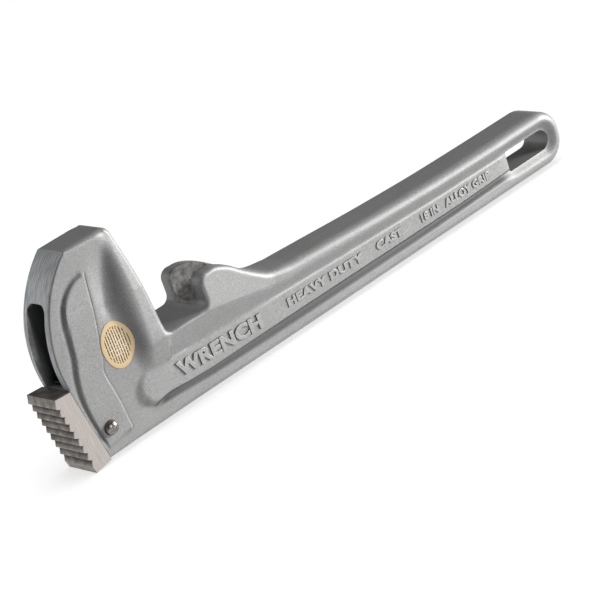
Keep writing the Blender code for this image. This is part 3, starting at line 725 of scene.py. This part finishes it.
def passage_tool():
    """The shank passage: a round-topped section carried rearwards, its floor and roof rising."""
    shelf_end = seat_point(SEAT_HEIGHT, 0)[0] + 16.0
    x = np.array([-30.0, -2.0, shelf_end, 69.5])
    shelf = seat_point(SEAT_HEIGHT, 0)[1] + 0.3
    floor = shelf + np.maximum(x - shelf_end, 0) * math.tan(PASSAGE_TURN)
    roof = SLOT_TOP + np.maximum(x + 2.0, 0) * math.tan(PASSAGE_TURN)
    turn = np.radians(np.linspace(0, 90, 9))
    bend = 5.0
    across_roof = SLOT_HALF - bend + bend * np.cos(turn)
    y = np.concatenate([[SLOT_HALF], across_roof, -across_roof[::-1], [-SLOT_HALF]])
    drop = bend * np.sin(turn) - bend
    rise = np.concatenate([[0.0], drop, drop[::-1], [0.0]])
    on_floor = np.arange(len(y)) % (len(y) - 1) == 0      # the section's first and last point
    z = np.where(on_floor[None], floor[:, None], roof[:, None] + rise)
    rings = np.stack([np.repeat(x[:, None], len(y), 1), np.repeat(y[None], len(x), 0), z], 2)
    return through_sections("shank_passage", rings)


def channel_tool():
    """The scoop between the cheeks: a dished floor that rises rearwards, with chatter ridges."""
    x = np.linspace(WINDOW_REAR - 8.0, WINDOW_REAR + 45.0, 70)[:, None]
    t = np.linspace(-1, 1, 41)[None]
    y = CHANNEL_HALF * t + 0 * x
    floor = WINDOW_FLOOR + 2.4 + np.maximum(x - WINDOW_REAR - 1, 0) * math.tan(PASSAGE_TURN)
    reach = np.hypot(x - WINDOW_REAR - 3.0, y * 1.1)
    ridges = 0.28 * np.sin(2 * np.pi * reach / 2.6) * ramp(x, WINDOW_REAR, WINDOW_REAR + 4)
    z = floor + 4.5 * np.abs(t) ** 3.5 + ridges
    roof = np.full_like(x, 84.0)
    side = np.full_like(x, CHANNEL_HALF)
    y = np.hstack([y, side, -side])
    z = np.hstack([z, roof, roof])
    rings = np.stack([np.repeat(x, y.shape[1], 1), y, z], 2)
    return through_sections("shank_channel", rings)


def tang_profile(gap, out):
    """The tang's side, grown all round by a gap, from out in front of the seat to its back end."""
    low, high, back = TANG_LOW - gap, TANG_HIGH + gap, -TANG_DEPTH - gap
    return [
        seat_point(low, out), seat_point(high, out), seat_point(high, back + TANG_CHAMFER),
        seat_point(high - TANG_CHAMFER, back), seat_point(low, back)]


def hang_profile():
    """The hang slot's side: two small corners at the front and a half round at the hanging end."""
    low, high, bend = 9.5, 22.3, 1.5
    rear = GRIP_LENGTH - 9.5
    front = rear - 35.0
    radius = (high - low) / 2
    return np.vstack([
        corner((front + bend, high), (front, high), (front, high - bend), 5),
        corner((front, low + bend), (front, low), (front + bend, low), 5),
        arc((rear - radius, low + radius), radius, -90, 90, 24)])


def make_casting(finish):
    """The casting with its passages cut; attributes mark the ground face, rough channel and painted
    shade.
    """
    points, faces = casting_surface()
    casting = add_piece("handle_casting", points, faces)
    deep = [(-40, 0), (40, 0)]
    narrow = [(-SLOT_HALF, 0), (SLOT_HALF, 0)]
    pin_hole = arc(seat_point(*PIN_PLACE), PIN_RADIUS + 0.3, 0, 350, 36)
    cut(casting, [
        passage_tool(), channel_tool(), across("tang_slot", tang_profile(0.4, 2.0), narrow),
        across("hang_slot", hang_profile(), deep), across("pin_hole", pin_hole, deep)])
    mark_surfaces(casting.data)
    smooth(casting.data, 32, finish)
    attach(casting, "root")
    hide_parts("handle")
    return casting


def painted_shade_depth(p):
    """How deep each point lies in a hollow, as painted shade: groove, flute, foot, front skirt or shank
    passage.
    """
    x, z, width = p[:, 0], p[:, 2], np.abs(p[:, 1])
    side_view = p[:, [0, 2]].astype(float)
    low = band_low(x)
    groove = ramp(z, bead_crest(x) - 0.6, bead_crest(x) + 2.6) * until(z, low - 0.3, low + 0.3)
    groove = groove * ramp(x, 33, 40) * until(x, 312, 322)
    start, end = flute_edges(z)
    share = np.clip((x - start) / (end - start), 0, 1)
    flute = 0.74 * np.sin(np.pi * share) ** 1.2 * ramp(z, 30, 52) * until(z, 100, 112)
    depth = depth_in(side_view, pad_outline())
    foot = 0.75 * np.exp(-((depth + 0.2) / 1.3) ** 2)
    foot = foot * ramp(pad_line_x(z) - x, 0.5, 2.5) * ramp(z, 4, 12)
    behind, _ = distance_to(side_view, front_arc())
    skirt = 0.6 * ramp(behind, 0.2, 0.5) * until(behind, 0.8, 1.5)
    skirt = skirt * (width > 9) * (z > SEAT_HEIGHT)
    narrow = width < SLOT_HALF + 0.05
    passage = narrow & (x > -9) & (x < 58) & (behind > 0.4) & (z > 40) & (z < 105)
    outside = np.clip(groove + flute + foot + skirt, 0, 1) * (width > SLOT_HALF + 0.05)
    return np.maximum(outside, passage)


def mark_surfaces(mesh):
    """Paint how far each vertex is on the ground front face, in the rough channel, and its painted shade
    in a hollow.
    """
    p = design_points(mesh)
    edge, _ = distance_to(p[:, [0, 2]].astype(float), front_arc())
    ground = (edge < 0.25) & (p[:, 2] > SEAT_HEIGHT)
    width = np.abs(p[:, 1])
    channel = (width < CHANNEL_HALF + 0.1) & (p[:, 0] > WINDOW_REAR - 2) & (p[:, 0] < 120)
    channel &= (p[:, 2] > WINDOW_FLOOR + 0.8) & (p[:, 2] < 66)
    paint(mesh, "ground", ground)
    paint(mesh, "as_cast", channel)
    # painted shade for the groove, flute, pad foot, front skirt and shank passage
    paint(mesh, "painted_shade", painted_shade_depth(p))


# ---------------------------------------------------------------- heel jaw, pin, springs, label

def jaw_profile():
    """The jaw's side: a row of sawteeth with tips pointing down and a small notch at each root."""
    height, depth, tip = 49.6, 11.0, 12.5
    pitch = (height - 6.5 - 7.7) / 7
    face = 0.63 * pitch
    points = [seat_point(0.0, 0.3), seat_point(SEAT_HEIGHT, 0.3), seat_point(height, depth - 0.6)]
    for i in range(8):
        root = height - 6.5 - i * pitch
        points += [seat_point(root + pitch - face, tip), seat_point(root + 0.45, depth + 0.25),
                   seat_point(root + 0.1, depth - 0.45), seat_point(root - 0.25, depth + 0.05)]
    points += [seat_point(root - face, tip), seat_point(0.0, tip - 0.5)]
    return np.array(points)


def make_jaw(finish, scale):
    """The toothed block, with fine broken edges, and its tang; only the two sides are ground."""
    block = across("heel_jaw_block", jaw_profile(),
                   [(-13.5, 0.25), (-13.25, 0), (13.25, 0), (13.5, 0.25)], finish, 20)
    tang = across("heel_jaw_tang", tang_profile(0.0, 0.8),
                  [(-7.3, 0.3), (-7.0, 0), (7.0, 0), (7.3, 0.3)], finish, 20)
    for piece in (block, tang):
        piece.data.materials.append(scale)
        for face in piece.data.polygons:
            face.material_index = 0 if abs(face.normal.y) > 0.5 else 1
        p = design_points(piece.data)
        # painted shade in the tooth roots, read by the forged finish
        out = -p[:, 0] * math.cos(SEAT_TURN) - p[:, 2] * math.sin(SEAT_TURN)
        paint(piece.data, "painted_shade", ramp(out, 10.3, 10.5) * until(out, 11.4, 12.2))
        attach(piece, "root")
        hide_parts("heel_jaw")


def make_pin(finish):
    """The cross pin, turned, with a domed head at each end."""
    half_length, head = 13.9, 2.6
    turn = np.linspace(0, math.pi / 2, 14)
    dome = np.stack([PIN_RADIUS * np.cos(turn), half_length + head * np.sin(turn)], 1)
    dome[-1, 0] = 0.0
    profile = np.vstack([dome[::-1] * (1, -1), dome])
    px, pz = seat_point(*PIN_PLACE)
    pin = turned("cross_pin", profile, lambda a, b, h: np.stack([px + a, h, pz + b], 1), finish)
    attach(pin, "root")
    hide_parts("heel_jaw_pin")


def surface_y(x, z):
    """Half the casting's width at points that lie well inside its outline."""
    points = np.stack([x, z], -1)
    return half_width(points, np.full(points.shape[:-1], 9.0))


def make_label(finish):
    """The oval sticker: rings of an ellipse that lie on the casting's side, closed behind."""
    low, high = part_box("label")
    middle = np.array((low + high) / 2) / MM - ORIGIN
    half = np.array((high - low) / 2) / MM
    lifts = (0.25, 0.05)      # front and back of the paper over the casting
    share = np.linspace(1, 0, 15)[:-1, None]
    turn = np.linspace(0, 2 * np.pi, 72, endpoint=False)[None]
    x = middle[0] + half[0] * share * np.cos(turn)
    z = middle[2] + half[2] * share * np.sin(turn)
    layers = [np.stack([x, -surface_y(x, z) - lift, z], 2) for lift in lifts]
    depth = float(surface_y(middle[0], middle[2]))
    centers = [[middle[0], -depth - lift, middle[2]] for lift in lifts]
    front = np.arange(x.size).reshape(x.shape)
    rear = front + x.size
    faces = [
        grid_quads(front, wrap_columns=True), grid_quads(rear, wrap_columns=True)[:, ::-1],
        grid_quads(np.vstack([rear[0], front[0]]), wrap_columns=True)]
    for ring, center in ((front[-1], 2 * x.size), (rear[-1][::-1], 2 * x.size + 1)):
        faces.append(np.stack([ring, np.full(len(ring), center), np.roll(ring, -1)], 1))
    points = np.vstack([layers[0].reshape(-1, 3), layers[1].reshape(-1, 3), centers])
    label = add_piece("oval_label", points, faces, finish, 60)
    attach(label, "root")
    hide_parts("label")


def leaf_line(t):
    """The leaf's underside: level at the front, then a long bow that rises to the tail."""
    low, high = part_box("flat_spring")
    length = (high.x - low.x) / MM
    level = 12.8 / length
    s = np.clip((t - level) / (1 - level), 0, 1)
    rise = s * ((1 - level) * length * math.tan(PASSAGE_TURN) + 1.3)
    x = low.x / MM - ORIGIN[0] + t * length
    z = low.z / MM - ORIGIN[2] + rise + 3.6 * np.sin(np.pi * s ** 0.8)
    return x, z


def make_leaf(finish):
    """The leaf spring: a strip section with rounded edges carried along the leaf's line."""
    t = np.linspace(0, 1, 60)
    x, z = leaf_line(t)
    slope = np.gradient(z, x)
    size = np.sqrt(1 + slope * slope)
    turn = np.radians(np.arange(0, 360, 30) + 15)
    y = np.sign(np.cos(turn)) * 5.1 + 0.4 * np.cos(turn)
    up = 0.5 + np.sign(np.sin(turn)) * 0.08 + 0.4 * np.sin(turn)
    rings = np.stack([
        x[:, None] - up * (slope / size)[:, None], np.repeat(y[None], len(t), 0),
        z[:, None] + up / size[:, None]], 2)
    leaf = through_sections("leaf_spring", rings, finish)
    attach(leaf, "leaf")
    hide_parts("flat_spring")


def make_coil(finish):
    """The coil spring: a round wire along a helix whose pitch runs out flat at both ends."""
    low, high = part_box("coil_spring")
    center_x = (low.x + high.x) / 2 / MM - ORIGIN[0]
    foot, top = low.z / MM - ORIGIN[2], high.z / MM - ORIGIN[2]
    wire = 0.7
    radius = (high.x - low.x) / 2 / MM - wire - 0.05
    t = np.linspace(0, 1, 200)
    angle = 2 * np.pi * 5.0 * t
    climb = t - 0.9 * np.sin(2 * np.pi * t) / (2 * np.pi)
    height = foot + wire + (top - foot - 2 * wire) * climb
    line = np.stack([center_x + radius * np.cos(angle), radius * np.sin(angle), height], 1)
    along = np.gradient(line, axis=0)
    along /= np.linalg.norm(along, axis=1, keepdims=True)
    out = np.stack([np.cos(angle), np.sin(angle), 0 * angle], 1)
    up = np.cross(along, out)
    up /= np.linalg.norm(up, axis=1, keepdims=True)
    turn = np.linspace(0, 2 * np.pi, 14, endpoint=False)[None, :, None]
    rings = line[:, None] + wire * (np.cos(turn) * out[:, None] + np.sin(turn) * up[:, None])
    coil = through_sections("coil_helix", rings, finish, 60)
    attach(coil, "leaf")
    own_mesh(coil)
    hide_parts("coil_spring")


def make_rivet(finish):
    """The rivet through the leaf, turned, with a low head under and over it."""
    low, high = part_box("spring_rivet")
    center_x = (low.x + high.x) / 2 / MM - ORIGIN[0]
    foot, top = low.z / MM - ORIGIN[2], high.z / MM - ORIGIN[2]
    profile = [
        (0, foot), (1.6, foot), (2.2, foot + 0.2), (2.35, foot + 0.6), (1.5, foot + 0.75),
        (1.5, top - 1.1), (2.35, top - 0.95), (2.1, top - 0.45), (1.3, top - 0.1), (0, top)]
    rivet = turned("leaf_rivet", profile,
                   lambda a, b, h: np.stack([center_x + a, b, h], 1), finish, 32)
    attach(rivet, "leaf")
    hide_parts("spring_rivet")


def text_shape(words):
    """Bold outlines of some words, thickened and bevelled, as a mesh and its points in 0 to 1."""
    curve = bpy.data.curves.new(words, "FONT")
    curve.body = words
    curve.extrude = 0.05
    curve.bevel_depth = 0.022
    curve.bevel_resolution = 1
    curve.offset = 0.034
    curve.space_character = 1.06
    writer = bpy.data.objects.new(words, curve)
    bpy.context.scene.collection.objects.link(writer)
    bpy.context.view_layer.update()
    graph = bpy.context.evaluated_depsgraph_get()
    mesh = bpy.data.meshes.new_from_object(writer.evaluated_get(graph))
    bpy.data.objects.remove(writer)
    co = np.empty(len(mesh.vertices) * 3, np.float32)
    mesh.vertices.foreach_get("co", co)
    co = co.reshape(-1, 3).astype(float)
    return mesh, (co - co.min(0)) / (co.max(0) - co.min(0))


def make_words(name, words, start, end, height, relief, finish, edge_finish):
    """Raised words on both sides of the lettering band: width along X, height along Z, depth over Y.

    The flat tops carry a painted highlight, a little lighter than the band, and the sloping sides
    painted shade.
    """
    source, shape = text_shape(words)
    for side, facing in (("near", -1.0), ("far", 1.0)):
        mesh = source.copy()
        along = shape[:, 0] if facing < 0 else 1 - shape[:, 0]
        x = start + (end - start) * along
        z = (band_low(x) + band_high(x)) / 2 + 0.4 + (shape[:, 1] - 0.5) * height
        y = facing * (band_level(x) - 0.25 + (relief + 0.25) * shape[:, 2])
        mesh.vertices.foreach_set("co", to_frame(np.stack([x, y, z], 1)).ravel())
        mesh.update()
        smooth(mesh, 40, finish, edge_finish)
        # faces across Y take the painted highlight, the sloping sides the painted shade
        for face in mesh.polygons:
            face.material_index = 0 if abs(face.normal.y) > 0.9 else 1
        piece = bpy.data.objects.new(f"{name}_{side}", mesh)
        bpy.context.scene.collection.objects.link(piece)
        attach(piece, "root")
    bpy.data.meshes.remove(source)


# ---------------------------------------------------------------- build

def make_camera():
    """A long lens high in front of the head, rolled so that the grip rises to the right.

    It starts looking straight down with its top towards +Y, is rolled about its own axis, tilted
    up to the dip below level, and turned to the heading, which counts from +X.
    """
    heading, dip, roll = (math.radians(angle) for angle in (56.642, 21.014, -20.211))
    turn = (Matrix.Rotation(heading - math.pi / 2, 4, "Z") @ Matrix.Rotation(math.pi / 2 - dip, 4, "X")
            @ Matrix.Rotation(roll, 4, "Z"))
    data = bpy.data.cameras.new("camera")
    data.lens = 180.0
    data.sensor_width = 36.0
    camera = bpy.data.objects.new("camera", data)
    bpy.context.scene.collection.objects.link(camera)
    camera.matrix_world = Matrix.Translation((-0.8871, -1.3239, 0.6219)) @ turn
    bpy.context.scene.camera = camera


def area_light(name, place, aim, size, power, tint="#FFFFFF"):
    """A square soft light that faces aim."""
    data = bpy.data.lights.new(name, "AREA")
    data.size = size
    data.energy = power
    data.color = hue(tint)[:3]
    lamp = bpy.data.objects.new(name, data)
    lamp.location = place
    lamp.rotation_euler = (Vector(aim) - Vector(place)).to_track_quat("-Z", "Y").to_euler()
    bpy.context.scene.collection.objects.link(lamp)
    return lamp


def only_for(lamp, floor, link):
    """The lamp lights everything but the floor, or with link nothing but the floor."""
    group = bpy.data.collections.new(lamp.name + "_receivers")
    group.objects.link(floor)
    group.collection_objects[0].light_linking.link_state = "INCLUDE" if link else "EXCLUDE"
    lamp.light_linking.receiver_collection = group


def make_floor():
    """A white sweep that glows a little, as a lit product table does."""
    reach = 8.0
    mesh = bpy.data.meshes.new("floor")
    corners = [(-reach, -reach, 0), (reach, -reach, 0), (reach, reach, 0), (-reach, reach, 0)]
    mesh.from_pydata(corners, [], [(0, 1, 2, 3)])
    floor = bpy.data.objects.new("floor", mesh)
    bpy.context.scene.collection.objects.link(floor)
    made = bpy.data.materials.new("white_paper_floor")
    made.use_nodes = True
    feed(made.node_tree, made.node_tree.nodes["Principled BSDF"], {
        "Base Color": hue("#F4F4F4"), "Roughness": 0.9, "Specular IOR Level": 0.0,
        "Emission Color": hue("#FFFFFF"), "Emission Strength": 0.62})
    mesh.materials.append(made)
    return floor


def make_world():
    """Weak even light; the backdrop that the camera sees past the floor is white."""
    world = bpy.data.worlds.new("studio")
    world.use_nodes = True
    tree = world.node_tree
    light = tree.nodes["Background"]
    backdrop = node(tree, "Background")
    for background, strength in ((light, 0.11), (backdrop, 0.93)):
        feed(tree, background, {"Color": hue("#FFFFFF"), "Strength": strength})
    seen = node(tree, "LightPath").outputs["Is Camera Ray"]
    both = node(tree, "MixShader", {"Fac": seen, 1: light.outputs[0], 2: backdrop.outputs[0]})
    feed(tree, tree.nodes["World Output"], {"Surface": both.outputs[0]})
    bpy.context.scene.world = world


def make_studio():
    """White floor under its own light; on the wrench a key from the right and three weak fills."""
    floor = make_floor()
    make_world()
    only_for(area_light("table_light", (0.2, -0.2, 3.0), (0, 0, 0), 2.6, 40), floor, True)
    for name, place, size, power in (
            ("key", (1.9, -1.15, 0.42), 0.8, 100),
            ("front_fill", (-0.4, -2.2, 0.9), 1.2, 12),
            ("overhead", (0.0, 0.35, 2.1), 0.9, 10),
            ("back_left", (-1.3, 1.75, 0.75), 1.0, 9)):
        only_for(area_light(name, place, (0, 0, 0.05), size, power), floor, False)
    bpy.context.scene.view_settings.view_transform = "Standard"


make_camera()
make_studio()
make_casting(cast_aluminium())
make_jaw(jaw_steel(), forged_steel())
make_pin(plain_steel("turned_pin_steel", "#6E6965", "#9A948F", 0.28, 1.2))
make_label(label_paper())
make_leaf(plain_steel("blued_spring_steel", "#2E2F33", "#55575B", 0.32, 2.0))
make_coil(plain_steel("music_wire", "#5A5B5D", "#8A8B8D", 0.26, 1.5))
make_rivet(plain_steel("zinc_plated_rivet_steel", "#6B6C6D", "#96979A", 0.35, 1.2))
# painted highlight on the words' flat tops and painted shade on their sloping sides
painted_highlight_tops = plain_steel("cast_aluminium_painted_highlight", "#8C8C8B", "#A09F9E", 0.5, 0.8)
painted_shade_sides = plain_steel("cast_aluminium_painted_shade", "#3F3F3E", "#565655", 0.6, 0.8)
for name, words, start, end, height, relief in (
        ("tool_word", "WRENCH", 56.8, 120.2, 9.0, 0.8),
        ("duty_words", "HEAVY DUTY", 140.5, 200.0, 5.4, 0.55),
        ("cast_word", "CAST", 211.0, 232.0, 5.2, 0.55),
        ("size_words", "18 IN", 247.5, 262.0, 5.2, 0.55),
        ("alloy_words", "ALLOY GRIP", 267.0, 305.0, 5.2, 0.55)):
    make_words(name, words, start, end, height, relief, painted_highlight_tops, painted_shade_sides)
